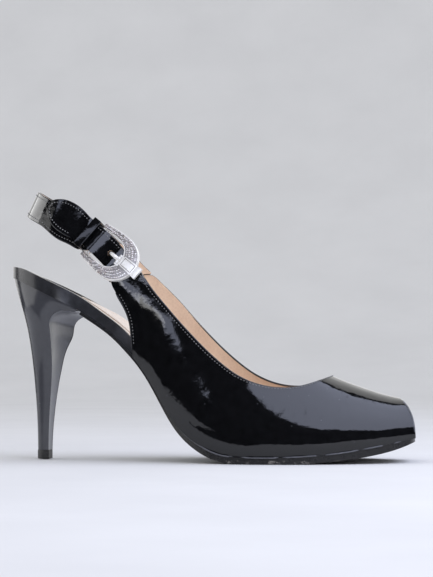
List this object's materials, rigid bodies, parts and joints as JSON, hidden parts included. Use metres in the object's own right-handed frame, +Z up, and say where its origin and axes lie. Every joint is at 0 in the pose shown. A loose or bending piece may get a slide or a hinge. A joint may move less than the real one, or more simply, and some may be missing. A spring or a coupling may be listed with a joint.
{
  "type": "high heel pump",
  "caption": "Slingback peep-toe high-heel shoe in black patent leather with a stone-set side buckle, stiletto-style heel and cream sock.",
  "frame": {"origin": "on the floor, at the centre of the shoe's overall length and width", "axes": "+X towards the toe, +Y towards the inner side of the foot, +Z up"},
  "size_m": [0.2074, 0.0789, 0.1369],
  "materials": {
    "patent_leather": "high-gloss patent",
    "tan_lining": "matt",
    "cream_leather": "matt",
    "sole_leather": "satin, dyed",
    "fibre_board": "matt",
    "foam": "matt",
    "cork": "matt",
    "spring_steel": "plain",
    "heel_plastic": "moulded",
    "lift_rubber": "satin",
    "buckle_metal": "polished",
    "crystal": "cut stones"
  },
  "bodies": {
    "shoe": {"outsole": "sole_leather", "bottom_filler": "cork", "insole_board": "fibre_board", "insock_pad": "foam", "insock": "cream_leather", "arch_cookie": "cream_leather", "shank_spring": "spring_steel", "shank_rivets": "spring_steel", "seat_rand": "patent_leather", "upper": "patent_leather", "upper_lining": "tan_lining", "heel_core": "heel_plastic", "heel_cover": "patent_leather", "heel_breast_cover": "patent_leather", "top_lift": "lift_rubber", "heel_dowel": "spring_steel", "top_lift_pin": "spring_steel", "heel_screw": "spring_steel", "heel_nails": "spring_steel"},
    "sling": {"heel_strap": "patent_leather", "heel_strap_lining": "tan_lining", "free_strap": "patent_leather", "free_strap_lining": "tan_lining", "bar_fold": "patent_leather"},
    "buckle": {"buckle_frame": "buckle_metal", "buckle_bar": "buckle_metal", "prong_pin": "buckle_metal", "prong_plate": "buckle_metal", "frame_crystals": "crystal"},
    "tongue": {"prong": "buckle_metal"},
    "keeper": {"keeper_loop": "patent_leather"}
  },
  "joints": [
    {"name": "sling_swing", "type": "hinge", "parent": "shoe", "child": "sling", "pos_m": [-0.0388, 0, 0.08935], "axis": [0, 0.9986, -0.0527], "range_deg": [-15, 15], "stiffness_Nm_per_rad": 0.25},
    {"name": "buckle_tilt", "type": "hinge", "parent": "sling", "child": "buckle", "pos_m": [-0.05408, -0.02721, 0.10985], "axis": [-0.6432, -0.1296, -0.7546], "range_deg": [0, 35]},
    {"name": "prong_lift", "type": "hinge", "parent": "buckle", "child": "tongue", "pos_m": [-0.0426, -0.0308, 0.10068], "axis": [0.6432, 0.1296, 0.7546], "range_deg": [0, 70]},
    {"name": "keeper_slide", "type": "slide", "parent": "sling", "child": "keeper", "axis": [-0.8061, 0.075, 0.587], "range_m": [0, 0.004]}
  ]
}
